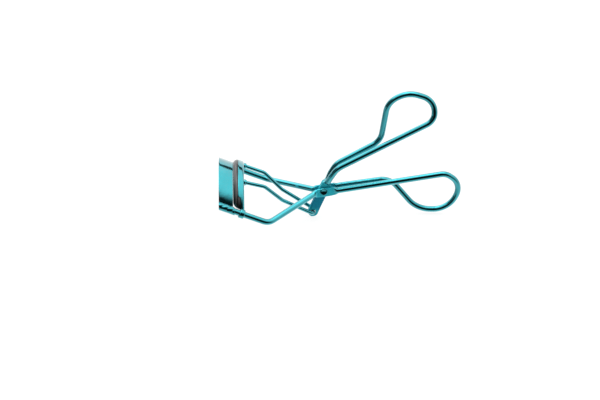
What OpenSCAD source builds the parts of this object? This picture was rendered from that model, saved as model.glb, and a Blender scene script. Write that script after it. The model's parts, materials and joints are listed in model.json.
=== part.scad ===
// Eyelash curler: a bent-wire frame with a fixed curved jaw, a scissor lever,
// and a padded jaw that a push link slides along the frame's two guide arms.
// Millimetres. +X runs from the jaws to the finger loops, +Y along the pivot
// rivet, +Z up in the plane of the loops. The origin is the middle of the
// whole object's box, and the two halves mirror each other about Y = 0.

/* [Wire] */
// Diameter of the frame and lever wire
wire_d = 2.5; // [2.4:0.1:2.6]
// Diameter of the push link's wire
link_d = 1.6; // [1.5:0.1:1.7]

/* [Jaws] */
// Half of the distance between the axes of the two guide arms
arm_y = 18; // [17.5:0.5:18.5]
// How far the jaws' arc is centred below the guide arms
arc_drop = 10.5; // [10:0.5:11]
// Slope of the guide arms, falling towards the pivot
arm_slope = 23.4; // [23:0.1:24]
// Sheet thickness of the fixed jaw and of the moving jaw's channel
sheet_t = 0.45; // [0.4:0.05:0.5]
// Gap between the pad and the fixed jaw when the curler is closed
closed_gap = 0.1; // [0.1:0.05:0.3]

/* [Pivot] */
// Diameter of the rivet
rivet_d = 2; // [1.8:0.1:2.2]
// Distance from the rivet to the lever's lower eye
eye_reach = 11.5; // [11.4:0.1:11.6]
// Thickness of one flattened leaf of the frame
leaf_t = 1; // [0.9:0.1:1.1]
// Thickness of the lever's two flattened ends together
tail_t = 2.2; // [2.0:0.1:2.2]

/* [Fits] */
// Radial clearance of the lever on the rivet
rivet_fit = 0.06; // [0.04:0.01:0.1]
// Radial clearance of the guide rings on the arms
slide_fit = 0.08; // [0.05:0.01:0.1]
// Radial clearance of the link in the lever's eye
eye_fit = 0.36; // [0.34:0.01:0.38]

/* [Hidden] */
$fn = 48;
teal = [0.10, 0.55, 0.60];
pad_grey = [0.22, 0.22, 0.23];

// Where the pivot lies in the whole object's box
pivot = [-7.19, 0, -16.05];

// Frame wire, all from the pivot
arm_bend = [-23.4, arm_y, -5.2];
arm_root = [-4.9, 2.6, -1.35];
leaf_front = [-4, 2.25, -1.2];
leaf_back = [6.4, 1.95, 0.45];
leaf_slope = 7.9;
leaf_long = 11.4;
leaf_w = 4;
leaf_gap = 0.15;
leaf_y = tail_t / 2 + leaf_gap + leaf_t / 2;
leaf_mid = [0.7, leaf_y, -0.6];
leaf_toe = [-2.3, leaf_y, -1];
leaf_heel = [3.4, 1.88, 0];
lower_loop = [[51, -1.3, 7.2], [58.5, 0, 1.3], [53.1, 0.3, -11.4], [39.7, 0.8, -10.9], [28, 2, 3.5]];
lower_bends = [5, 8.2, 10, 12, 8];
arm_bends = [0, 5, 2, 0];
leaf_toe_r = leaf_t * 0.45;

// Lever wire
lever_slope = 67.5;
lever_root = [3, 1.7, 6.8];
lever_stem = [5.4, 2.2, 10.85];
upper_loop = [[45, -1.3, 32.1], [45, 0, 40.9], [34.2, 0.3, 44.5], [25.9, 0.8, 40.1], [23.6, 2.2, 21.4]];
upper_bends = [5.5, 7.2, 10, 8.6, 7.6];
stem_bend = 8;
lever_toe = [1.6, 0.6, 3.7];
lever_toe_r = 0.5;
tail_w = 4.1;
tail_leaf_w = 4.4;
tail_top = 5.2;
tail_top_w = 3;
eye_boss_w = tail_w + 0.3;

// Push link
link_y = 6.9;
link_head = [-32.7, link_y, 7.9];
link_path = [[-24.7, 5.9, 5.1], [-17.4, 4.5, -2.4], [-4.4, 2.35, -10.62]];
link_bends = [4, 4, 1];
collar_r = 1.35;
collar_w = 0.9;
collar_back = 0.55;
peen_r = 0.85;
peen_t = 0.35;

// Planes across X that the jaws are cut to
plate_front = -43.6;
plate_back = -37.8;
sleeve_back = -37.2;
pad_front = plate_back + closed_gap;
band_front = -35.6;
band_back = -33.2;
web_front = band_back - sheet_t;
pad_back = web_front - 0.6;
ring_x = -34.35;

// Radii of the arcs about the jaws' centre
arc_r = norm([arm_y, arc_drop]);
arc_end = atan(arm_y / arc_drop);
plate_r = arc_r - 0.95;
channel_in = arc_r - 2.9;
channel_out = arc_r + 0.9;
channel_end = arc_end - 3;
pad_end = arc_end - 6.3;
ring_r = 1.9;
ring_w = 2.2;
sleeve_r = 1.5;
spigot_r = 0.95;
link_hole_r = 0.75;
link_end_r = link_hole_r - 0.15;
ring_chamfer = [0.3, 0.4];

wire_r = wire_d / 2;
// Room between the wire's shoulder and the sleeve, and round the pad in its channel
wire_play = 0.7;
pad_play = 0.01;
// Bends stand this much proud of the straight wire, which runs a little way into them
bend_swell = 0.02;
bury = 0.2;
// Collar between a cone and a wire: how proud it stands, and half of its width
collar_swell = 0.05;
collar_half = 0.35;
// Thinner tip of each arm, how far it stops short of the plate's front, and
// how far it starts inside the thick wire
tip_r = spigot_r - 0.02;
tip_short = 0.4;
tip_bury = 1.5;
// Cutters run this much past what they cut, reach this far out, and turn this much further
past = 3;
room = 30;
cut_angle = 20;

function unit(v) = v / norm(v);
function on_side(p, side) = [p[0], side * p[1], p[2]];
function mirror_y(p) = on_side(p, -1);
function back_dir(path, i) = unit(path[i - 1] - path[i]);
function next_dir(path, i) = unit(path[i + 1] - path[i]);
function turn(path, i) = 180 - acos(back_dir(path, i) * next_dir(path, i));
function trim(path, bends, i) = (i == 0 || i == len(path) - 1) ? 0 : bends[i] * tan(turn(path, i) / 2);
// A point on the guide arm's axis where it crosses the plane X = x
function arm_at(x) = [x, arm_y, arm_bend[2] + (arm_bend[0] - x) * tan(arm_slope)];

// A straight round bar or cone between two points
module rod(a, b, r1, r2) {
    v = unit(b - a);
    translate(a) rotate([0, acos(v[2]), atan2(v[1], v[0])]) cylinder(h = norm(b - a), r1 = r1, r2 = r2);
}

// Where a flattened end swells to round wire: a cone from toe, and a collar
// round root that the wire starts inside
module flare(toe, root, toe_r) {
    v = unit(root - toe);
    long = norm(root - toe);
    r = wire_r + collar_swell;
    low = long - collar_half;
    high = long + collar_half;
    translate(toe)
        rotate([0, acos(v[2]), atan2(v[1], v[0])])
            rotate_extrude()
                polygon([[0, 0], [toe_r, 0], [r, low], [r, high], [0, high]]);
}

// The round bend at one corner of a wire's path
module elbow(path, bends, i, r) {
    n = unit(cross(next_dir(path, i), back_dir(path, i)));
    u = unit(cross(-back_dir(path, i), n));
    v = cross(n, u);
    c = path[i] + back_dir(path, i) * trim(path, bends, i) - u * bends[i];
    multmatrix([[u[0], v[0], n[0], c[0]],
                [u[1], v[1], n[1], c[1]],
                [u[2], v[2], n[2], c[2]],
                [0, 0, 0, 1]])
        rotate_extrude(angle = turn(path, i))
            translate([bends[i], 0])
                circle(r = r);
}

// A wire bent round the corners of its path, one bend radius to a corner.
// Each straight stretch runs a little further, into the bend or cone it meets
module bent_wire(path, bends, r) {
    last = len(path) - 1;
    for (i = [0 : last - 1]) {
        dir = next_dir(path, i);
        start = path[i] + dir * (trim(path, bends, i) - bury);
        end = path[i + 1] - dir * (trim(path, bends, i + 1) - bury);
        rod(start, end, r, r);
    }
    for (i = [1 : last - 1]) elbow(path, bends, i, r + bend_swell);
}

// Children are drawn with X along the guide arms, from the arms' bends at Y = 0
module along_arms() {
    translate([arm_bend[0], 0, arm_bend[2]]) rotate([0, arm_slope, 0]) children();
}

// A curved strip that follows the jaws' arc, long enough to be cut to length
module arc_strip(r_in, r_out, half_angle) {
    along_arms()
        translate([-room, 0, -arc_drop])
            rotate([0, 90, 0])
                rotate_extrude(angle = 2 * half_angle, start = 180 - half_angle, $fn = 96)
                    translate([r_in, 0])
                        square([r_out - r_in, room + past]);
}

// Keeps what lies between two planes across X
module between(x0, x1) {
    intersection() {
        children();
        translate([x0, -room, -room]) cube([x1 - x0, 2 * room, 2 * room]);
    }
}

// A round bar along one guide arm, from one plane across X to another
module arm_bar(side, x0, x1, r) {
    rod(on_side(arm_at(x0), side), on_side(arm_at(x1), side), r, r);
}

// A pointed leaf with round sides, flattened from the wire
module leaf_outline(length, width) {
    r = (length * length + width * width) / (4 * width);
    intersection() {
        translate([0, width / 2 - r]) circle(r = r, $fn = 96);
        translate([0, r - width / 2]) circle(r = r, $fn = 96);
    }
}

// One leaf, with the cones that blend it into the arm and the handle
module frame_leaf(side) {
    translate(on_side(leaf_mid, side))
        rotate([90, -leaf_slope, 0])
            linear_extrude(leaf_t, center = true) leaf_outline(leaf_long, leaf_w);
    flare(on_side(leaf_toe, side), on_side(leaf_front, side), leaf_toe_r);
    flare(on_side(leaf_heel, side), on_side(leaf_back, side), leaf_toe_r);
}

module frame_wire() {
    near_back = mirror_y(leaf_back);
    color(teal) translate(pivot) difference() {
        union() {
            for (side = [-1, 1]) {
                arm = [arm_at(sleeve_back + wire_play), arm_bend, arm_root, leaf_front];
                bent_wire([for (p = arm) on_side(p, side)], arm_bends, wire_r);
                arm_bar(side, plate_front + tip_short, sleeve_back + tip_bury, tip_r);
                frame_leaf(side);
            }
            bent_wire(concat([near_back], lower_loop, [leaf_back]), concat([0], lower_bends, [0]), wire_r);
        }
        rotate([90, 0, 0]) cylinder(h = room, d = rivet_d, center = true);
    }
}

// Curved plate whose two ends are rolled into sleeves round the arms' tips
module fixed_jaw() {
    color(teal) translate(pivot) between(plate_front, sleeve_back) difference() {
        union() {
            between(plate_front, plate_back) arc_strip(plate_r - sheet_t, plate_r, arc_end);
            for (side = [-1, 1]) arm_bar(side, plate_front - past, sleeve_back + past, sleeve_r);
        }
        for (side = [-1, 1]) arm_bar(side, plate_front - past, sleeve_back + past, spigot_r);
    }
}

module pivot_rivet() {
    shank = leaf_y + leaf_t / 2;
    head_r = 1.5;
    head_h = 0.7;
    dome_r = (head_r * head_r + head_h * head_h) / (2 * head_h);
    color(teal) translate(pivot) {
        rotate([90, 0, 0]) cylinder(h = 2 * shank, d = rivet_d, center = true);
        for (side = [-1, 1])
            rotate([-90 * side, 0, 0])
                intersection() {
                    translate([0, 0, shank + head_h - dome_r]) sphere(r = dome_r);
                    translate([-past, -past, shank]) cube(2 * past);
                }
    }
}

// Flat lower part of the lever, from its eye up to where the two wires part
module lever_tail() {
    rotate([90, -lever_slope, 0]) linear_extrude(tail_t, center = true) {
        translate([-eye_reach, 0]) circle(d = eye_boss_w);
        translate([-eye_reach, -tail_w / 2]) square([eye_reach, tail_w]);
        circle(d = tail_leaf_w);
        polygon([[0, tail_leaf_w / 2], [0, -tail_leaf_w / 2],
                 [tail_top, -tail_top_w / 2], [tail_top, tail_top_w / 2]]);
    }
}

module lever_wire() {
    eye = -eye_reach * [cos(lever_slope), 0, sin(lever_slope)];
    near = [mirror_y(lever_root), mirror_y(lever_stem)];
    far = [lever_stem, lever_root];
    color(teal) translate(pivot) difference() {
        union() {
            lever_tail();
            for (side = [-1, 1]) flare(on_side(lever_toe, side), on_side(lever_root, side), lever_toe_r);
            bent_wire(concat(near, upper_loop, far),
                      concat([0, stem_bend], upper_bends, [stem_bend, 0]), wire_r);
        }
        rotate([90, 0, 0]) cylinder(h = room, r = rivet_d / 2 + rivet_fit, center = true);
        translate(eye) rotate([90, 0, 0]) cylinder(h = room, r = link_d / 2 + eye_fit, center = true);
    }
}

// Curved channel that holds the pad, open towards the fixed jaw
module jaw_channel() {
    color(teal) translate(pivot) difference() {
        between(band_front, band_back) arc_strip(channel_in, channel_out, channel_end);
        between(band_front - past, web_front)
            arc_strip(channel_in + sheet_t, channel_out - sheet_t, channel_end + cut_angle);
        for (side = [-1, 1]) {
            arm_bar(side, band_front - past, band_back + past, ring_r);
            translate(on_side(link_head, side)) rotate([0, -90, 0]) cylinder(h = past, r = link_hole_r);
        }
    }
}

// The two rings at the channel's ends that run on the guide arms
module guide_rings() {
    hole = wire_r + slide_fit;
    edge = ring_w / 2;
    side_cut = ring_chamfer[0];
    rim_cut = ring_chamfer[1];
    color(teal) translate(pivot) for (side = [-1, 1]) {
        translate(on_side(arm_at(ring_x), side))
            rotate([0, arm_slope + 90, 0])
                rotate_extrude()
                    polygon([[hole, -edge], [ring_r - side_cut, -edge], [ring_r, rim_cut - edge],
                             [ring_r, edge - rim_cut], [ring_r - side_cut, edge], [hole, edge]]);
    }
}

// Soft strip that presses the lashes against the fixed jaw's back edge
module lash_pad() {
    color(pad_grey) translate(pivot)
        between(pad_front, pad_back)
            arc_strip(channel_in + sheet_t + pad_play, channel_out - sheet_t - pad_play, pad_end);
}

module push_link() {
    peen_x = link_head[0] - web_front + 0.1;
    near = [for (p = concat([link_head], link_path)) mirror_y(p)];
    far = [for (i = [len(link_path) - 1 : -1 : 0]) link_path[i]];
    color(teal) translate(pivot) {
        bent_wire(concat(near, far, [link_head]),
                  concat([0], link_bends, [for (i = [len(link_bends) - 1 : -1 : 0]) link_bends[i]], [0]),
                  link_d / 2);
        for (side = [-1, 1])
            translate(on_side(link_head, side)) rotate([0, -90, 0]) {
                translate([0, 0, -collar_back]) cylinder(h = collar_w, r = collar_r);
                cylinder(h = peen_x + peen_t, r = link_end_r);
                translate([0, 0, peen_x]) cylinder(h = peen_t, r = peen_r);
            }
    }
}

frame_wire();
fixed_jaw();
pivot_rivet();
lever_wire();
jaw_channel();
guide_rings();
lash_pad();
push_link();
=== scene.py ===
import json
import math
import random

import bmesh
import bpy
import numpy as np
from mathutils import Matrix, Vector


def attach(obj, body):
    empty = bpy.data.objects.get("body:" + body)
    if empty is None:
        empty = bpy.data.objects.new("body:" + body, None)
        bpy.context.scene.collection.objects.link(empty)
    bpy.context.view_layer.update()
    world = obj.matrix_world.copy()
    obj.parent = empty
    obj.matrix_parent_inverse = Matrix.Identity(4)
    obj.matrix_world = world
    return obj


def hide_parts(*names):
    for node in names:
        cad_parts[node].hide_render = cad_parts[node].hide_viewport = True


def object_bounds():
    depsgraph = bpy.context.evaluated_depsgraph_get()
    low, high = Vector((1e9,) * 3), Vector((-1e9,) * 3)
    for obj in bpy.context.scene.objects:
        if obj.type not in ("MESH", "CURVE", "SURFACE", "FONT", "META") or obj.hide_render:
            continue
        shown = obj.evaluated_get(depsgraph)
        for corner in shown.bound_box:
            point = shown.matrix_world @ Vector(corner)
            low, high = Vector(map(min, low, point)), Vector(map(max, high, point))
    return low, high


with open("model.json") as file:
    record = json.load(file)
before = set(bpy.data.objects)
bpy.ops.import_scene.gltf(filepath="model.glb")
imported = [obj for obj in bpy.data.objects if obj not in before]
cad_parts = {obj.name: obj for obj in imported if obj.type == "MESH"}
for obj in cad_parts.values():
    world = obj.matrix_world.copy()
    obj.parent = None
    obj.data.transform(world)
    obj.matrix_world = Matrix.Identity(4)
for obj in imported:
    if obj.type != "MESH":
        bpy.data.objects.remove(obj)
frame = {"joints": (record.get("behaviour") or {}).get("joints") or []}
CAD_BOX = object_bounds()

MM = 0.001
PIVOT = np.array(next(j["pos_m"] for j in frame["joints"] if j["name"] == "lever_pivot"))


def direction(slope_deg):
    """Unit vector in the plane of the loops, slope_deg above +X."""
    slope = math.radians(slope_deg)
    return np.array([math.cos(slope), 0.0, math.sin(slope)])


# Wire and sheet
WIRE_R = 1.25
LINK_R = 0.8
SHEET_T = 0.34
CHANNEL_T = 0.4

# Guide arms, and the jaws' arc about a centre between them
ARM_Y = 18.0
ARC_DROP = 10.5
ARM_SLOPE_DEG = 23.4
ARM_SLOPE = math.radians(ARM_SLOPE_DEG)
ARM_BEND = np.array([-23.4, ARM_Y, -5.2])
ARM_BEND_R = 5
ARC_R = math.hypot(ARM_Y, ARC_DROP)
ARC_END = math.degrees(math.atan2(ARM_Y, ARC_DROP))
ALONG = direction(-ARM_SLOPE_DEG)
RISE = direction(90 - ARM_SLOPE_DEG)
ACROSS = np.array([0.0, 1.0, 0.0])

# Planes across X that the jaws end on
PLATE_FRONT = -43.6
ARM_TIP = PLATE_FRONT + 0.52
PLATE_BACK = -37.8
SLEEVE_BACK = -37.25
PAD_FRONT = -37.69
BAND_FRONT = -35.6
PAD_BASE = BAND_FRONT - 0.05
RING_X = -34.35
PAD_BACK = -34.0
BAND_BACK = -33.2

# Radii about the arc's centre, and where along the arc the channel and pad end
PLATE_R = ARC_R - 1.2
CHANNEL_IN = ARC_R - 2.9
CHANNEL_OUT = ARC_R + 0.65
CHANNEL_MID = (CHANNEL_IN + CHANNEL_OUT) / 2
CHANNEL_END = ARC_END - 4.8
PAD_END = ARC_END - 4.3

# Frame wire: corners (x, y, z, bend radius)
LEAF_LINE = [(-3.9, 1.95, -1.22, 2.0), (-1.5, 1.75, -0.9, 5), (3.4, 1.75, -0.2, 5)]
HANDLE_HEEL = (7.0, 2.0, 0.54, 6)
LOWER_LOOP = [
    (51, -1.3, 7.2, 5),
    (58.5, 0, 1.3, 8.2),
    (53.1, 0.3, -11.4, 10),
    (39.7, 0.8, -10.9, 12),
    (28, 2.0, 3.5, 8),
]

# Leaf of the frame wire: its middle, its reach to each side, and half its section
LEAF_X = 0.6
LEAF_REACH_FRONT = 4.6
LEAF_REACH_BACK = 5.1
LEAF_HALF_W = 1.97
LEAF_HALF_T = 0.5
LEAF_MAX_Y = 3.2

# Lever wire: corners (x, y, z, bend radius)
LEVER_ROOT = (3.0, 1.8, 6.8, 5)
LEVER_STEM = (5.4, 2.2, 10.85, 8)
UPPER_LOOP = [
    (45, -1.3, 32.1, 5.5),
    (45, 0, 40.9, 7.2),
    (34.2, 0.3, 44.5, 10),
    (25.9, 0.8, 40.1, 8.6),
    (23.6, 2.2, 21.4, 7.6),
]

# Lever's flat tail: its axis, its two holes, its half section and its swell at the eye
TAIL_DIR = direction(67.5)
STEM_DIR = direction(66.3)
EYE_REACH = 11.5
EYE_R = 1.16
RIVET_HOLE_R = 1.06
TAIL_Y = 0.565
TAIL_PAST_EYE = 2.1
TAIL_HALF_W = 2.05
TAIL_HALF_T = 0.54
TAIL_MAX_Y = 2.3
EYE_SWELL = 0.08
EYE_SWELL_REACH = 3.5

# Push link: corners of one half, and where its heads stand
LINK_HALF = [
    (-32.9, 6.9, 7.9, 0),
    (-24.7, 5.9, 5.1, 4),
    (-17.4, 4.5, -2.4, 4),
    (-4.4, 2.35, -10.62, 1.0),
]
LINK_HEAD = (-32.75, 6.9, 7.9)


# ---------------------------------------------------------------- geometry
def place(points):
    return np.asarray(points, float) * MM + PIVOT


def smoothstep(a, b, x):
    t = np.clip((np.asarray(x, float) - a) / (b - a), 0.0, 1.0)
    return t * t * (3 - 2 * t)


def unit(v):
    v = np.asarray(v, float)
    return v / np.linalg.norm(v, axis=-1, keepdims=True)


def circle_angles(sides):
    return np.arange(sides) * 2 * math.pi / sides


def mirrored(corners):
    return [(x, -y, z, r) for x, y, z, r in corners]


def both_sides(values):
    """A row that starts at the middle, continued to the other side with its sign changed."""
    return np.r_[-values[:0:-1], values]


def arclength(line):
    return np.r_[0, np.cumsum(np.linalg.norm(np.diff(line, axis=0), axis=1))]


def resample(line, step):
    """The line's shape with even points, about step apart."""
    gaps = np.linalg.norm(np.diff(line, axis=0), axis=1)
    line = line[np.r_[True, gaps > 1e-6]]
    s = arclength(line)
    n = max(2, int(round(s[-1] / step)))
    at = np.linspace(0, s[-1], n + 1)
    return np.stack([np.interp(at, s, line[:, k]) for k in range(3)], axis=1)


def bend_points(before, corner, after, radius, spacing=0.15):
    """Points of the round bend that replaces one corner."""
    back, ahead = unit(before - corner), unit(after - corner)
    turn = math.pi - math.acos(float(np.clip(back @ ahead, -1, 1)))
    if turn < 1e-3 or radius <= 0:
        return [corner]
    start = corner + back * radius * math.tan(turn / 2)
    centre = corner + unit(back + ahead) * radius / math.cos(turn / 2)
    out = unit(start - centre)
    steps = max(4, int(turn * radius / spacing))
    angles = [turn * k / steps for k in range(steps + 1)]
    return [centre + radius * (out * math.cos(g) - back * math.sin(g)) for g in angles]


def wire_path(corners, step=0.35):
    """Even points along a wire bent round corners (x, y, z, bend radius)."""
    v = np.asarray(corners, float)
    line = [v[0, :3]]
    for i in range(1, len(v) - 1):
        line += bend_points(v[i - 1, :3], v[i, :3], v[i + 1, :3], v[i, 3])
    line.append(v[-1, :3])
    return resample(np.array(line), step)


def eased(line, sigma):
    """Softens the change from straight to bend, leaving the ends where they are."""
    step = np.linalg.norm(line[1] - line[0])
    half = int(3 * sigma / step) + 1
    w = np.exp(-0.5 * ((np.arange(-half, half + 1) * step) / sigma) ** 2)
    w /= w.sum()
    head = 2 * line[0] - line[half:0:-1]
    tail = 2 * line[-1] - line[-2 : -half - 2 : -1]
    long = np.vstack([head, line, tail])
    return np.stack([np.convolve(long[:, k], w, "valid") for k in range(3)], axis=1)


def turned_frames(line, side=None):
    """Tangent, width and depth directions at each point. The depth direction
    stays near side, or turns as little as it can where side is None."""
    t = unit(np.gradient(line, axis=0))
    if side is not None:
        d = unit(side - (t @ side)[:, None] * t)
        return t, np.cross(d, t), d
    off_axis = [0.3, 0.2, 1.0]
    d = np.zeros_like(t)
    d[0] = unit(np.cross(t[0], off_axis))
    for i in range(1, len(t)):
        d[i] = unit(d[i - 1] - (d[i - 1] @ t[i]) * t[i])
    return t, np.cross(d, t), d


def tidy_normals(mesh, sharp):
    bm = bmesh.new()
    bm.from_mesh(mesh)
    bmesh.ops.remove_doubles(bm, verts=bm.verts, dist=1e-7)
    bmesh.ops.recalc_face_normals(bm, faces=bm.faces)
    bm.to_mesh(mesh)
    bm.free()
    mesh.shade_smooth()
    mesh.set_sharp_from_angle(angle=math.radians(sharp))


def mesh_object(name, verts, faces, attributes=None, sharp=40):
    """A linked object; edges sharper than sharp degrees stay sharp."""
    mesh = bpy.data.meshes.new(name)
    mesh.from_pydata([tuple(p) for p in place(verts)], [], faces)
    for key, values in (attributes or {}).items():
        values = np.asarray(values, np.float32)
        kind = "FLOAT_VECTOR" if values.ndim == 2 else "FLOAT"
        layer = mesh.attributes.new(key, kind, "POINT")
        layer.data.foreach_set("vector" if values.ndim == 2 else "value", values.ravel())
    mesh.validate()
    tidy_normals(mesh, sharp)
    obj = bpy.data.objects.new(name, mesh)
    bpy.context.scene.collection.objects.link(obj)
    return obj


def skin(name, rings, attributes=None, sharp=40):
    """A closed tube through rings of equal length, each end closed to a point."""
    rings = np.asarray(rings, float)
    n, k = rings.shape[:2]
    verts = list(rings.reshape(-1, 3))
    faces = []
    for i in range(n - 1):
        for j in range(k):
            a, b = i * k + j, i * k + (j + 1) % k
            faces.append((a, b, b + k, a + k))
    extra = {}
    for key, values in (attributes or {}).items():
        values = np.asarray(values, float)
        extra[key] = list(values.reshape(n * k, *values.shape[2:]))
    for end, row in ((0, rings[0]), (n - 1, rings[-1])):
        c = len(verts)
        verts.append(row.mean(axis=0))
        for j in range(k):
            a, b = end * k + j, end * k + (j + 1) % k
            faces.append((b, a, c) if end == 0 else (a, b, c))
        for key in extra:
            extra[key].append(extra[key][end * k])
    return mesh_object(name, verts, faces, extra, sharp)


def tube_rings(line, width, depth, power, side=None, sides=40, tip=0.12):
    """Rings of a bar along line: round where power is 2, flat-sided above it.
    Each end has a chamfer of size tip."""
    n = len(line)
    width, depth, power = (np.broadcast_to(np.asarray(x, float), n).copy() for x in (width, depth, power))
    t, across, deep = turned_frames(line, side)
    c, s = np.cos(circle_angles(sides)), np.sin(circle_angles(sides))
    ex = 2 / power[:, None]
    u = np.sign(c) * np.abs(c) ** ex * width[:, None]
    v = np.sign(s) * np.abs(s) ** ex * depth[:, None]
    rings = line[:, None] + u[..., None] * across[:, None] + v[..., None] * deep[:, None]
    if tip:
        first = line[0] + (rings[0] - line[0]) * (1 - tip / width[0])
        last = line[-1] + (rings[-1] - line[-1]) * (1 - tip / width[-1])
        rings[0] += t[0] * tip
        rings[-1] -= t[-1] * tip
        rings = np.concatenate([first[None], rings, last[None]])
    return rings


def stretched(values, n):
    """The row of values, resampled to n."""
    return np.interp(np.linspace(0, 1, n), np.linspace(0, 1, len(values)), values)


def spread(values, rings):
    """One value a point of the line, given to each vertex of its ring."""
    n, k = rings.shape[:2]
    return np.broadcast_to(stretched(values, n)[:, None], (n, k))


def grain_of(line, rings, pitch=0.06):
    """Texture coordinates that run along a bar: slow along it and quick round it."""
    n, k = rings.shape[:2]
    angle = circle_angles(k)
    along = stretched(arclength(line), n)[:, None] * pitch
    return np.stack([np.broadcast_to(v, (n, k)) for v in (along, np.cos(angle), np.sin(angle))], axis=-1)


def sheet_grain(rings, along, across_end, pitch_x=0.55):
    """Texture coordinates of a rolled sheet: along its length, across X, and round its edge."""
    n, k = rings.shape[:2]
    return np.stack(
        [
            np.broadcast_to(along[:, None], (n, k)),
            rings[..., 0] * pitch_x,
            np.broadcast_to(np.linspace(0, across_end, k), (n, k)),
        ],
        axis=-1,
    )


def arm_at(x, y=ARM_Y):
    """Where a guide arm's axis crosses the plane X = x."""
    return np.array([x, y, ARM_BEND[2] + (ARM_BEND[0] - x) * math.tan(ARM_SLOPE)])


def jaw_point(x, y, w):
    """The point of the plane X = x that lies at y across and w up the jaws' section."""
    t = (x - ARM_BEND[0] - w * RISE[0]) / ALONG[0]
    return np.array([ARM_BEND[0], 0, ARM_BEND[2]]) + t * ALONG + w * RISE + y * ACROSS


def arc_point(x, angle, r):
    """A point of the plane X = x on the arc, angle in degrees from the top towards +Y."""
    a = math.radians(angle)
    return jaw_point(x, r * math.sin(a), r * math.cos(a) - ARC_DROP)


def wobble(seed, waves, size, count=7):
    """A smooth irregular function of two coordinates."""
    rng = random.Random(seed)
    full_turn = 6.28
    terms = [
        (
            rng.uniform(*waves),
            rng.uniform(*waves) * rng.choice((-1, 1)),
            rng.uniform(0, full_turn),
            rng.uniform(0.4, 1),
        )
        for _ in range(count)
    ]
    total = sum(t[3] for t in terms)
    return lambda a, b: size * sum(w * math.sin(p * a + q * b + f) for p, q, f, w in terms) / total


# ------------------------------------------------------------- shader nodes
def node(tree, kind, **inputs):
    n = tree.nodes.new(kind)
    for key, value in inputs.items():
        n.inputs[key.replace("_", " ")].default_value = value
    return n


def feed(tree, socket, value):
    """Links a socket, or sets its value where value isn't a socket."""
    if isinstance(value, bpy.types.NodeSocket):
        tree.links.new(value, socket)
    else:
        socket.default_value = value


def attribute(tree, name, output="Fac"):
    n = tree.nodes.new("ShaderNodeAttribute")
    n.attribute_name = name
    return n.outputs[output]


def noise(tree, vector, scale, detail=3.0, roughness=0.5):
    n = node(tree, "ShaderNodeTexNoise", Scale=scale, Detail=detail, Roughness=roughness)
    tree.links.new(vector, n.inputs["Vector"])
    return n.outputs["Fac"]


def ranged(tree, value, low, high, to_low, to_high):
    n = node(tree, "ShaderNodeMapRange")
    for key, v in zip(("From Min", "From Max", "To Min", "To Max"), (low, high, to_low, to_high)):
        n.inputs[key].default_value = v
    tree.links.new(value, n.inputs["Value"])
    return n.outputs["Result"]


def smooth(tree, value, low, high, to_low, to_high):
    out = ranged(tree, value, low, high, to_low, to_high)
    out.node.interpolation_type = "SMOOTHSTEP"
    return out


def blended(tree, factor, a, b):
    """Mix of two colours; each may be a socket or four numbers."""
    n = tree.nodes.new("ShaderNodeMix")
    n.data_type = "RGBA"
    tree.links.new(factor, n.inputs["Factor"])
    feed(tree, n.inputs[6], a)
    feed(tree, n.inputs[7], b)
    return n.outputs[2]


def mathed(tree, operation, *values, clamp=False):
    n = tree.nodes.new("ShaderNodeMath")
    n.operation = operation
    n.use_clamp = clamp
    for socket, value in zip(n.inputs, values):
        feed(tree, socket, value)
    return n.outputs[0]


def product(tree, first, *others):
    for other in others:
        first = mathed(tree, "MULTIPLY", first, other)
    return first


def bumped(tree, height, distance, strength, under=None):
    n = node(tree, "ShaderNodeBump", Strength=strength, Distance=distance)
    tree.links.new(height, n.inputs["Height"])
    if under is not None:
        tree.links.new(under, n.inputs["Normal"])
    return n.outputs["Normal"]


# ---------------------------------------------------------------- materials
TEAL = (0.020, 0.290, 0.330, 1)
TEAL_DEEP = (0.013, 0.248, 0.286, 1)
TEAL_FLAT = (0.022, 0.400, 0.480, 1)
BLUE = (0.0, 0.165, 0.270, 1)
SILICONE = (0.002, 0.002, 0.0022, 1)
SILICONE_PALE = (0.004, 0.004, 0.0042, 1)
PAPER = (0.115, 0.115, 0.115, 1)
PAPER_PALE = (0.12, 0.12, 0.12, 1)
COAT = 0.75
COAT_IOR = 1.5
COAT_ROUGHNESS = 0.04
SPECULAR = 0.5
FLAT_SPECULAR = 0.1
FLAT_ROUGHER = 0.34
FLAT_LESS_METAL = 0.8


def new_material(name):
    mat = bpy.data.materials.new(name)
    mat.use_nodes = True
    tree = mat.node_tree
    where = tree.nodes.new("ShaderNodeTexCoord").outputs["Object"]
    return mat, tree, tree.nodes["Principled BSDF"], where


def matt_flats(tree, shader, where, colour, rough, bump):
    """Changes the plating where the wire was struck flat: duller, paler, finely
    pitted, and bluer on the lever's tail."""
    flat = attribute(tree, "flat")
    colour = blended(tree, flat, colour, TEAL_FLAT)
    colour = blended(tree, attribute(tree, "blue"), colour, BLUE)
    rough = mathed(tree, "ADD", rough, product(tree, flat, FLAT_ROUGHER), clamp=True)
    metal = mathed(tree, "SUBTRACT", 1.0, product(tree, flat, FLAT_LESS_METAL))
    bare = mathed(tree, "SUBTRACT", 1.0, flat)
    tree.links.new(metal, shader.inputs["Metallic"])
    tree.links.new(product(tree, bare, COAT), shader.inputs["Coat Weight"])
    tree.links.new(ranged(tree, bare, 0, 1, FLAT_SPECULAR, SPECULAR), shader.inputs["Specular IOR Level"])
    pits = product(tree, noise(tree, where, scale=2400, detail=2.0), flat)
    return colour, rough, bumped(tree, pits, distance=0.00003, strength=0.5, under=bump)


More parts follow.
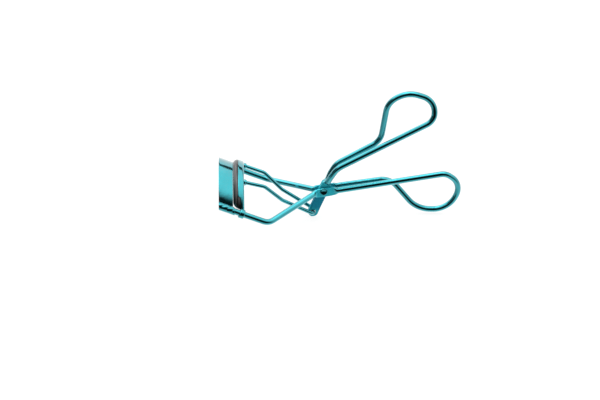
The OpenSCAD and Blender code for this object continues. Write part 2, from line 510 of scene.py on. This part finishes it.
def plated(name, roughness=(0.03, 0.08), peel=0.15, draw=0.2, flats=False):
    """Teal lacquer over polished metal: a clear coat on a tinted mirror, with
    faint drawing lines (draw) and a slight orange peel (peel)."""
    mat, tree, shader, where = new_material(name)
    shader.inputs["Metallic"].default_value = 1.0
    shader.inputs["Coat Weight"].default_value = COAT
    shader.inputs["Coat IOR"].default_value = COAT_IOR
    shader.inputs["Coat Roughness"].default_value = COAT_ROUGHNESS
    cloud = ranged(tree, noise(tree, where, scale=110, detail=2.0), 0.35, 0.65, 0, 1)
    colour = blended(tree, cloud, TEAL, TEAL_DEEP)
    lines = noise(tree, attribute(tree, "grain", "Vector"), scale=14, detail=4.0, roughness=0.65)
    rough = ranged(tree, noise(tree, where, scale=420), 0.3, 0.7, *roughness)
    rough = mathed(tree, "ADD", rough, ranged(tree, lines, 0.45, 0.75, 0, 0.04))
    bump = bumped(tree, noise(tree, where, scale=650, detail=1.0), distance=0.00005, strength=peel)
    bump = bumped(tree, lines, distance=0.00002, strength=draw, under=bump)
    if flats:
        colour, rough, bump = matt_flats(tree, shader, where, colour, rough, bump)
    tree.links.new(colour, shader.inputs["Base Color"])
    tree.links.new(rough, shader.inputs["Roughness"])
    tree.links.new(bump, shader.inputs["Normal"])
    return mat


def silicone(name):
    """Dark satin silicone with a cloudy surface and a fine moulded grain."""
    mat, tree, shader, where = new_material(name)
    shader.inputs["IOR"].default_value = 1.58
    cloud = noise(tree, where, scale=300)
    colour = blended(tree, ranged(tree, cloud, 0.3, 0.7, 0, 1), SILICONE, SILICONE_PALE)
    fine = noise(tree, where, scale=5200, detail=2.0)
    tree.links.new(colour, shader.inputs["Base Color"])
    tree.links.new(ranged(tree, cloud, 0.3, 0.7, 0.16, 0.24), shader.inputs["Roughness"])
    tree.links.new(bumped(tree, fine, distance=0.00001, strength=0.2), shader.inputs["Normal"])
    return mat


# ------------------------------------------------------------------- pieces
def frame_wire():
    """One wire from arm tip to arm tip, struck flat at the two leaves."""
    side = [(*arm_at(ARM_TIP), 0), (*ARM_BEND, ARM_BEND_R), *LEAF_LINE, HANDLE_HEEL]
    line = eased(wire_path(mirrored(side) + LOWER_LOOP + side[::-1]), 0.45)
    along = line[:, 0] - LEAF_X
    near_pivot = np.abs(line[:, 1]) < LEAF_MAX_Y
    reach = np.where(along < 0, LEAF_REACH_FRONT, LEAF_REACH_BACK)
    bulge = np.where(near_pivot, np.sqrt(np.clip(1 - (along / reach) ** 2, 0, 1)), 0)
    flat = np.where(near_pivot, 1 - smoothstep(reach * 0.66, reach, np.abs(along)), 0)
    rings = tube_rings(
        line,
        width=WIRE_R + (LEAF_HALF_W - WIRE_R) * bulge,
        depth=WIRE_R + (LEAF_HALF_T - WIRE_R) * flat,
        power=2 + 3.5 * flat,
        side=ACROSS,
    )
    marks = {
        "grain": grain_of(line, rings),
        "flat": spread(smoothstep(0.22, 0.68, flat), rings),
        "blue": spread(0 * flat, rings),
    }
    return skin("frame_wire_bent", rings, marks)


def lever_half_line():
    """Corners of one half of the lever, from its tail's end up to its stem."""
    end = -TAIL_DIR * (EYE_REACH + TAIL_PAST_EYE)
    parting = STEM_DIR * 3.4
    return [
        (end[0], TAIL_Y, end[2], 0),
        (0, TAIL_Y, 0, 12),
        (parting[0], TAIL_Y, parting[2], 5),
        LEVER_ROOT,
        LEVER_STEM,
    ]


def lever_wire():
    """One wire whose two ends are pressed flat together and pierced by the eye."""
    half = lever_half_line()
    line = eased(wire_path(mirrored(half) + UPPER_LOOP + half[::-1], 0.3), 0.4)
    along = line @ STEM_DIR
    low = np.abs(line[:, 1]) < TAIL_MAX_Y
    flat = np.where(low & (along < 8), 1 - smoothstep(2.2, 5.0, along), 0)
    s = arclength(line)
    from_end = np.minimum(s, s[-1] - s)
    to_round = (TAIL_PAST_EYE - np.minimum(from_end, TAIL_PAST_EYE)) / TAIL_PAST_EYE
    nose = np.sqrt(np.clip(1 - to_round**2, 0.01, 1))
    swell = 1 - smoothstep(0, EYE_SWELL_REACH, np.abs(from_end - TAIL_PAST_EYE))
    tail_half_w = TAIL_HALF_W + EYE_SWELL * swell
    rings = tube_rings(
        line,
        width=(WIRE_R + (tail_half_w - WIRE_R) * smoothstep(0, 0.8, flat)) * nose,
        depth=WIRE_R + (TAIL_HALF_T - WIRE_R) * smoothstep(0, 0.9, flat),
        power=2 + 5 * flat,
        side=ACROSS,
        tip=0.0,
    )
    bluer = smoothstep(-10.8, -8.5, along) * (1 - smoothstep(-2.5, 0.5, along))
    marks = {
        "grain": grain_of(line, rings),
        "flat": spread(smoothstep(0.35, 0.8, flat), rings),
        "blue": spread(0.85 * np.where(low, bluer, 0), rings),
    }
    lever = skin("lever_wire_bent", rings, marks)
    pierce(lever, -TAIL_DIR * EYE_REACH, EYE_R)
    pierce(lever, np.zeros(3), RIVET_HOLE_R)
    return lever


def pierce(obj, centre, radius, countersink=0.12):
    """Cuts a round hole along Y through the lever's tail, countersunk on both faces."""
    past, face, depth = 4, 1.07, 0.12
    wide = radius + countersink
    near = [(-past, wide), (-face, wide), (depth - face, radius)]
    profile = near + [(-y, r) for y, r in near[::-1]]
    angle = circle_angles(48)
    rings = [[centre + [r * math.cos(a), y, r * math.sin(a)] for a in angle] for y, r in profile]
    cutter = skin("cutter", rings)
    cut = obj.modifiers.new("hole", "BOOLEAN")
    cut.operation = "DIFFERENCE"
    cut.object = cutter
    cut.solver = "EXACT"
    apply_modifiers(obj)
    bpy.data.objects.remove(cutter)
    obj.data.set_sharp_from_angle(angle=math.radians(40))


def apply_modifiers(obj):
    graph = bpy.context.evaluated_depsgraph_get()
    mesh = bpy.data.meshes.new_from_object(obj.evaluated_get(graph), depsgraph=graph)
    obj.modifiers.clear()
    obj.data = mesh


def push_link():
    """The link's wire, from one head at the moving jaw through the eye to the other."""
    line = eased(wire_path(mirrored(LINK_HALF) + LINK_HALF[::-1], 0.22), 0.3)
    rings = tube_rings(line, LINK_R, LINK_R, 2, sides=32)
    return skin("push_link_wire", rings, {"grain": grain_of(line, rings)})


def revolved(name, centre, axis, profile, sides, lean=0.0, lean_past=2.26):
    """A closed turned shape: profile is (distance along axis, radius). Beyond
    lean_past on an axis along Y, faces lean up by the slope lean."""
    axis = unit(axis)
    off_axis = [0.31, 0.87, 0.2]
    u = unit(np.cross(axis, off_axis))
    v = np.cross(axis, u)
    angle = circle_angles(sides)
    ring = np.cos(angle)[:, None] * u + np.sin(angle)[:, None] * v
    rings = np.array([centre + a * axis + r * ring for a, r in profile])
    outer = np.array([np.sign(a) * (abs(a) > lean_past) for a, _ in profile])
    rings[..., 1] -= lean * outer[:, None] * (rings[..., 2] - centre[2])
    line = np.array([centre + a * axis for a, _ in profile])
    return skin(name, rings, {"grain": grain_of(line, rings)})


def link_head(side):
    """Collar pressed on the wire against the moving jaw's web, and the peened end inside."""
    collar = [
        (-0.70, 0.84), (-0.62, 1.0), (-0.30, 1.06), (-0.22, 1.16), (-0.12, 1.28),
        (0.0, 1.33), (0.28, 1.33), (0.36, 1.25), (0.38, 0.7),
    ]
    shank = [(0.80, 0.6), (1.02, 0.6)]
    peened = [(1.04, 0.82), (1.2, 0.85), (1.34, 0.7), (1.38, 0.4)]
    x, y, z = LINK_HEAD
    name = "link_collar_near" if side < 0 else "link_collar_far"
    return revolved(name, np.array([x, side * y, z]), [-1, 0, 0], collar + shank + peened, 40)


def rivet():
    """Shank with two low heads, round at the rim, dimpled, and leaning up a little."""
    shank = [(1.2, 0.98), (2.25, 0.98)]
    rim = [(2.27, 1.46), (2.33, 1.54), (2.45, 1.54), (2.56, 1.48), (2.62, 1.38), (2.64, 1.28)]
    dimple = [(2.60, 1.1), (2.55, 0.85), (2.51, 0.6), (2.485, 0.35), (2.475, 0.1)]
    half = shank + rim + dimple
    profile = [(-a, r) for a, r in half[::-1]] + half
    return revolved("rivet_domed", np.zeros(3), ACROSS, profile, 56, lean=0.12)


def sheet_section(front, back, cells):
    """Section of the plate's sheet as (x, offset), with its corners rounded."""
    h, e = SHEET_T / 2, SHEET_T * 0.28
    soft = e * 0.3
    xs = np.linspace(front + e, back - e, cells)
    loop = [(x, h) for x in xs]
    loop += [(back - soft, h - soft), (back, h - e), (back, -h + e), (back - soft, -h + soft)]
    loop += [(x, -h) for x in xs[::-1]]
    loop += [(front + soft, -h + soft), (front, -h + e), (front, h - e), (front + soft, h - soft)]
    return loop


def plate_profile(arc_steps, roll_steps):
    """Middle line of the plate across the jaws as (y, w): its arc, then the roll round each arm."""
    roll_r = WIRE_R + 0.02 + SHEET_T / 2
    plate_mid = PLATE_R - SHEET_T / 2
    angles = np.linspace(0, ARC_END, arc_steps)
    radius = plate_mid + (ARC_R - roll_r - plate_mid) * smoothstep(38, ARC_END, angles)
    a = np.radians(angles)
    arc = np.stack([radius * np.sin(a), radius * np.cos(a) - ARC_DROP], axis=1)
    end = math.radians(ARC_END)
    inward = np.array([-math.sin(end), -math.cos(end)])
    onward = np.array([math.cos(end), -math.sin(end)])
    g = np.radians(np.linspace(8, 314, roll_steps))[:, None]
    roll = [ARM_Y, 0.0] + roll_r * (inward * np.cos(g) + onward * np.sin(g))
    half = np.vstack([arc, roll])
    return np.vstack([half[:0:-1] * [-1, 1], half])


def fixed_jaw():
    """Curved plate, its two ends rolled round the arms' tips into crimped sleeves."""
    arc_steps, roll_steps, blend = 70, 44, 7
    profile = plate_profile(arc_steps, roll_steps)
    tangents = unit(np.gradient(profile, axis=0))
    normals = np.stack([-tangents[:, 1], tangents[:, 0]], axis=1)
    rolled = np.r_[np.zeros(arc_steps), np.ones(roll_steps)]
    rolled = smoothstep(0, 1, np.convolve(rolled, np.ones(blend) / blend, "same"))
    rolled = np.r_[rolled[:0:-1], rolled]
    backs = PLATE_BACK + (SLEEVE_BACK - PLATE_BACK) * rolled
    crimp = wobble(3, (0.9, 3.0), 0.085)
    sway = wobble(5, (0.05, 0.35), 0.012)
    rings = []
    for i, ((y, w), (ny, nw)) in enumerate(zip(profile, normals)):
        s = i * 0.3
        ring = []
        for x, offset in sheet_section(PLATE_FRONT, backs[i], 30):
            d = offset + crimp(s * 1.6, x * 1.5) * rolled[i] + sway(s, x) * (1 - rolled[i])
            ring.append(jaw_point(x, y + ny * d, w + nw * d))
        rings.append(ring)
    rings = np.array(rings)
    grain = sheet_grain(rings, arclength(profile) * 0.05, 0.2)
    return skin("fixed_jaw_plate", rings, {"grain": grain})


def u_outline(front_out, front_in, r_in, r_out):
    """Closed outline of the channel's sheet, open towards -X, as (x, r) points."""
    t, bend, steps = CHANNEL_T, 0.62, 6
    inner = bend - t
    edge, soft = 0.12, 0.03
    bx = BAND_BACK - bend
    g = np.radians(np.linspace(90, 0, steps + 1))
    down, up = g[1:], g[::-1][1:]
    lip, web = 5, 6
    pts = [(x, r_out) for x in np.linspace(front_out + edge, bx, lip)]
    pts += [(bx + bend * math.cos(a), r_out - bend + bend * math.sin(a)) for a in down]
    pts += [(BAND_BACK, r) for r in np.linspace(r_out - bend, r_in + bend, web)[1:]]
    pts += [(bx + bend * math.cos(a), r_in + bend - bend * math.sin(a)) for a in up]
    pts += [(x, r_in) for x in np.linspace(bx, front_in + edge, lip)[1:]]
    pts += [(front_in + soft, r_in + soft), (front_in, r_in + edge)]
    pts += [(front_in, r_in + t - edge), (front_in + soft, r_in + t - soft)]
    pts += [(x, r_in + t) for x in np.linspace(front_in + edge, bx, lip)]
    pts += [(bx + inner * math.cos(a), r_in + bend - inner * math.sin(a)) for a in down]
    pts += [(BAND_BACK - t, r) for r in np.linspace(r_in + bend, r_out - bend, web)[1:]]
    pts += [(bx + inner * math.cos(a), r_out - bend + inner * math.sin(a)) for a in up]
    pts += [(x, r_out - t) for x in np.linspace(bx, front_out + edge, lip)[1:]]
    pts += [(front_out + soft, r_out - t + soft), (front_out, r_out - t + edge)]
    pts += [(front_out, r_out - edge), (front_out + soft, r_out - soft)]
    return pts


def jaw_channel():
    """Curved U channel, its outer lip cut back near the ends, tapering into the rings."""
    cut_start, cut_end = 42.4, 43.2
    lip_cut, lip_drop, taper_in, taper_up = 0.85, 0.4, 0.2, 1.35
    angles = both_sides(
        np.r_[
            np.linspace(0, cut_start - 0.9, 54),
            np.linspace(cut_start - 0.6, cut_end + 0.6, 12),
            np.linspace(cut_end + 1.1, CHANNEL_END, 26),
        ]
    )
    sway = wobble(9, (0.05, 0.3), 0.012)
    rings = []
    for a in angles:
        cut = smoothstep(cut_start, cut_end, abs(a))
        taper = smoothstep(CHANNEL_END - 6, CHANNEL_END, abs(a))
        section = u_outline(
            BAND_FRONT + lip_cut * cut,
            BAND_FRONT + taper_in * taper,
            CHANNEL_IN + taper_up * taper,
            CHANNEL_OUT - lip_drop * smoothstep(28, CHANNEL_END + 4, abs(a)),
        )
        d = sway(a * 0.3, 0.0)
        rings.append([arc_point(x, a, r + d) for x, r in section])
    rings = np.array(rings)
    return skin("jaw_channel_band", rings, {"grain": sheet_grain(rings, angles * 0.017, 3)})


def guide_ring(side):
    """Barrel-edged ring that runs on a guide arm."""
    hole, outer, half, edge, barrel, sides = 1.27, 1.9, 1.1, 0.08, 0.38, 64
    section = [(-half, hole + edge), (-half + edge, hole), (half - edge, hole), (half, hole + edge)]
    for x, start in ((half - barrel, 0), (-half + barrel, 90)):
        for g in np.radians(np.linspace(start, start + 90, 6)):
            section.append((x + barrel * math.cos(g), outer - barrel + barrel * math.sin(g)))
    centre = arm_at(RING_X, side * ARM_Y)
    k = len(section)
    verts, faces, grain = [], [], []
    for i, g in enumerate(circle_angles(sides)):
        out = math.cos(g) * RISE + math.sin(g) * ACROSS
        for j, (a, r) in enumerate(section):
            verts.append(centre + a * ALONG + r * out)
            grain.append((g * 0.1, a * 0.6, r * 0.6))
            after, beside = (i + 1) % sides * k, (j + 1) % k
            faces.append((i * k + j, i * k + beside, after + beside, after + j))
    name = "guide_ring_near" if side < 0 else "guide_ring_far"
    return mesh_object(name, verts, faces, {"grain": grain}, 50)


def lash_pad():
    """Silicone strip: a tongue in the channel and a round nose towards the fixed jaw."""
    round_off, half_thick, half_tongue, step = 5.5, 1.62, 1.3, 0.12
    angles = both_sides(np.r_[np.linspace(0, PAD_END - 7.8, 60), np.linspace(PAD_END - 7.4, PAD_END, 26)])
    rings = []
    for a in angles:
        past = np.clip((abs(a) - PAD_END + round_off) / round_off, 0, 1)
        full = math.sqrt(max(1 - past**2, 0.0))
        nose = (PAD_BASE - PAD_FRONT) * (0.12 + 0.88 * full)
        thick = half_thick * (0.55 + 0.45 * full)
        tongue = half_tongue * (0.75 + 0.25 * full)
        section = [(PAD_BACK, -tongue), (PAD_BACK, tongue), (PAD_BASE, tongue), (PAD_BASE, thick - step)]
        for g in np.radians(np.linspace(92, 268, 23)):
            up = math.copysign(math.sin(g) ** 2, math.sin(g))
            section.append((PAD_BASE + nose * math.cos(g) - 0.02, thick * up))
        section += [(PAD_BASE, -thick + step), (PAD_BASE, -tongue)]
        rings.append([arc_point(x, a, CHANNEL_MID + r) for x, r in section])
    return skin("lash_pad_strip", rings, sharp=50)


# ------------------------------------------------------------- the assembly
wire_metal = plated("plated_wire", flats=True)
sheet_metal = plated("plated_sheet", roughness=(0.04, 0.1), peel=0.8, draw=0.45)
rivet_metal = plated("plated_rivet", roughness=(0.06, 0.14), peel=0.3, draw=0.2)
link_metal = plated("plated_link", roughness=(0.05, 0.12), peel=0.3, draw=0.3)
pad_rubber = silicone("pad_silicone")


def fit_out(pieces, body, slot, material, *nodes):
    """Gives pieces their material and body, and hides the CAD nodes that they replace. slot is not used.
    """
    for piece in pieces:
        piece.data.materials.clear()
        piece.data.materials.append(material)
        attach(piece, body)
    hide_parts(*nodes)


fit_out([frame_wire()], "frame", "plated_wire", wire_metal, "frame_wire")
fit_out([fixed_jaw()], "frame", "plated_sheet", sheet_metal, "fixed_jaw")
fit_out([rivet()], "frame", "plated_rivet", rivet_metal, "pivot_rivet")
fit_out([lever_wire()], "lever", "plated_wire", wire_metal, "lever_wire")
fit_out([jaw_channel()], "moving_jaw", "plated_sheet", sheet_metal, "jaw_channel")
fit_out([guide_ring(-1), guide_ring(1)], "moving_jaw", "plated_wire", link_metal, "guide_rings")
fit_out([lash_pad()], "moving_jaw", "pad_rubber", pad_rubber, "lash_pad")
fit_out([push_link(), link_head(-1), link_head(1)], "link", "plated_wire", link_metal, "push_link")


# -------------------------------------------------------------------- stage
# Brightness of the studio by degrees above the horizon
SKY_TOP = 3.6
SKY_LEVELS = [
    (-90, 1.5), (-52, 1.35), (-36, 1.05), (-6, 1.1), (8, 1.25), (20, 1.55),
    (32, 1.8), (52, 1.95), (61, 2.05), (70, 2.7), (90, 3.5),
]
BACKDROP = 1.02
DARKEST = 0.985

CAMERA_AZIMUTH = math.radians(-2)
CAMERA_ELEVATION = math.radians(31)
CAMERA_DISTANCE = 600.0
CAMERA_LEFT = 9.87
CAMERA_DOWN = 4.62


def floor():
    """Pale matt paper just below the object."""
    low = CAD_BOX[0].z - 0.0004
    size = 4.0
    corners = [(-size, -size, low), (size, -size, low), (size, size, low), (-size, size, low)]
    mesh = bpy.data.meshes.new("floor")
    mesh.from_pydata(corners, [], [(0, 1, 2, 3)])
    obj = bpy.data.objects.new("floor", mesh)
    bpy.context.scene.collection.objects.link(obj)
    mat, tree, shader, where = new_material("floor_paper")
    shader.inputs["Roughness"].default_value = 0.9
    shader.inputs["Specular IOR Level"].default_value = 0.1
    shader.inputs["Emission Color"].default_value = (1, 1, 1, 1)
    shader.inputs["Emission Strength"].default_value = 0.875
    colour = blended(tree, noise(tree, where, scale=30), PAPER, PAPER_PALE)
    tree.links.new(colour, shader.inputs["Base Color"])
    mesh.materials.append(mat)
    obj.visible_glossy = False


def sky_brightness(tree, rise):
    """Brightness at each height, through SKY_LEVELS."""
    ramp = tree.nodes.new("ShaderNodeFloatCurve")
    curve = ramp.mapping.curves[0]
    points = [((deg + 90) / 180, level / SKY_TOP) for deg, level in SKY_LEVELS]
    curve.points[0].location = points[0]
    curve.points[1].location = points[-1]
    for at, level in points[1:-1]:
        curve.points.new(at, level)
    ramp.mapping.update()
    tree.links.new(ranged(tree, rise, -90, 90, 0, 1), ramp.inputs["Value"])
    return product(tree, ramp.outputs[0], SKY_TOP)


def window(tree, rise, swing):
    """A brighter window behind, to the left: what it adds to the brightness there."""
    inside = product(tree, smooth(tree, swing, -112, -96, 1, 0), smooth(tree, swing, -178, -160, 0, 1))
    return product(tree, inside, smooth(tree, rise, 12, 26, 0, 0.55))


def darkness(tree, rise, swing):
    """The dark room in front, a dark slot behind and a dark wing on the left."""
    turn = mathed(tree, "ABSOLUTE", swing)
    above = mathed(tree, "SUBTRACT", rise, ranged(tree, turn, 5, 38, 23, 0))
    room = product(tree, smooth(tree, above, 34, 56, 1, 0), smooth(tree, turn, 34, 78, 1, 0))
    room = product(tree, room, smooth(tree, rise, -31, -19, 0, 1))
    slot = product(tree, smooth(tree, rise, 20.5, 22.5, 0, 1), smooth(tree, rise, 30.0, 32.0, 1, 0))
    slot = product(tree, slot, smooth(tree, swing, 120, 140, 0, 0.97))
    wing = product(tree, smooth(tree, rise, -12, -4, 0, 1), smooth(tree, rise, 24, 40, 1, 0))
    wing = product(tree, wing, smooth(tree, swing, -60, -40, 1, 0))
    wing = product(tree, wing, smooth(tree, swing, -116, -98, 0, 0.95))
    return mathed(tree, "MAXIMUM", mathed(tree, "MAXIMUM", room, slot), wing)


def studio_world():
    """A bright tent: strong light overhead, softer sides, and a dark room in front.
    Directions are degrees of rise above the horizon and of swing from the front
    towards +X."""
    world = bpy.data.worlds.new("studio")
    bpy.context.scene.world = world
    world.use_nodes = True
    tree = world.node_tree
    background = tree.nodes["Background"]
    background.inputs["Color"].default_value = (1, 1, 1, 1)
    xyz = tree.nodes.new("ShaderNodeSeparateXYZ")
    tree.links.new(tree.nodes.new("ShaderNodeTexCoord").outputs["Generated"], xyz.inputs[0])
    x, y, z = xyz.outputs
    degree = 180 / math.pi
    rise = product(tree, mathed(tree, "ARCSINE", z), degree)
    swing = product(tree, mathed(tree, "ARCTAN2", x, product(tree, y, -1.0)), degree)

    right_brighter = ranged(tree, x, -0.9, 0.9, 0.7, 1.25)
    low = smooth(tree, rise, -22, -8, 1, 0)
    sides = mathed(tree, "ADD", 1.0, product(tree, low, mathed(tree, "SUBTRACT", right_brighter, 1.0)))
    light = product(tree, sky_brightness(tree, rise), sides)
    light = product(tree, light, mathed(tree, "ADD", 1.0, window(tree, rise, swing)))
    dark = product(tree, darkness(tree, rise, swing), DARKEST)
    light = product(tree, light, mathed(tree, "SUBTRACT", 1.0, dark))
    seen = tree.nodes.new("ShaderNodeLightPath").outputs["Is Camera Ray"]
    light = mathed(tree, "MAXIMUM", light, product(tree, seen, BACKDROP))
    tree.links.new(light, background.inputs["Strength"])


def key_light():
    data = bpy.data.lights.new("overhead_softbox", "AREA")
    data.shape = "RECTANGLE"
    data.size, data.size_y = 0.7, 0.5
    data.energy = 0.45
    obj = bpy.data.objects.new("overhead_softbox", data)
    obj.location = (0.05, 0.12, 0.8)
    obj.rotation_euler = (math.radians(-8), math.radians(4), 0)
    bpy.context.scene.collection.objects.link(obj)


def camera():
    """Looks at the object from the front and above, from CAMERA_DISTANCE away."""
    sin_a, cos_a = math.sin(CAMERA_AZIMUTH), math.cos(CAMERA_AZIMUTH)
    sin_e, cos_e = math.sin(CAMERA_ELEVATION), math.cos(CAMERA_ELEVATION)
    right = np.array([cos_a, sin_a, 0])
    back = np.array([sin_a * cos_e, -cos_a * cos_e, sin_e])
    up = np.cross(back, right)
    at = back * CAMERA_DISTANCE - right * CAMERA_LEFT - up * CAMERA_DOWN
    data = bpy.data.cameras.new("camera")
    data.sensor_width = 36
    data.lens = 85.71
    data.clip_start = 0.01
    matrix = Matrix.Identity(4)
    for k, axis in enumerate((right, up, back)):
        for row in range(3):
            matrix[row][k] = axis[row]
    matrix.translation = Vector(place(at))
    obj = bpy.data.objects.new("camera", data)
    obj.matrix_world = matrix
    bpy.context.scene.collection.objects.link(obj)
    bpy.context.scene.camera = obj


floor()
studio_world()
key_light()
camera()
bpy.context.scene.view_settings.view_transform = "Standard"
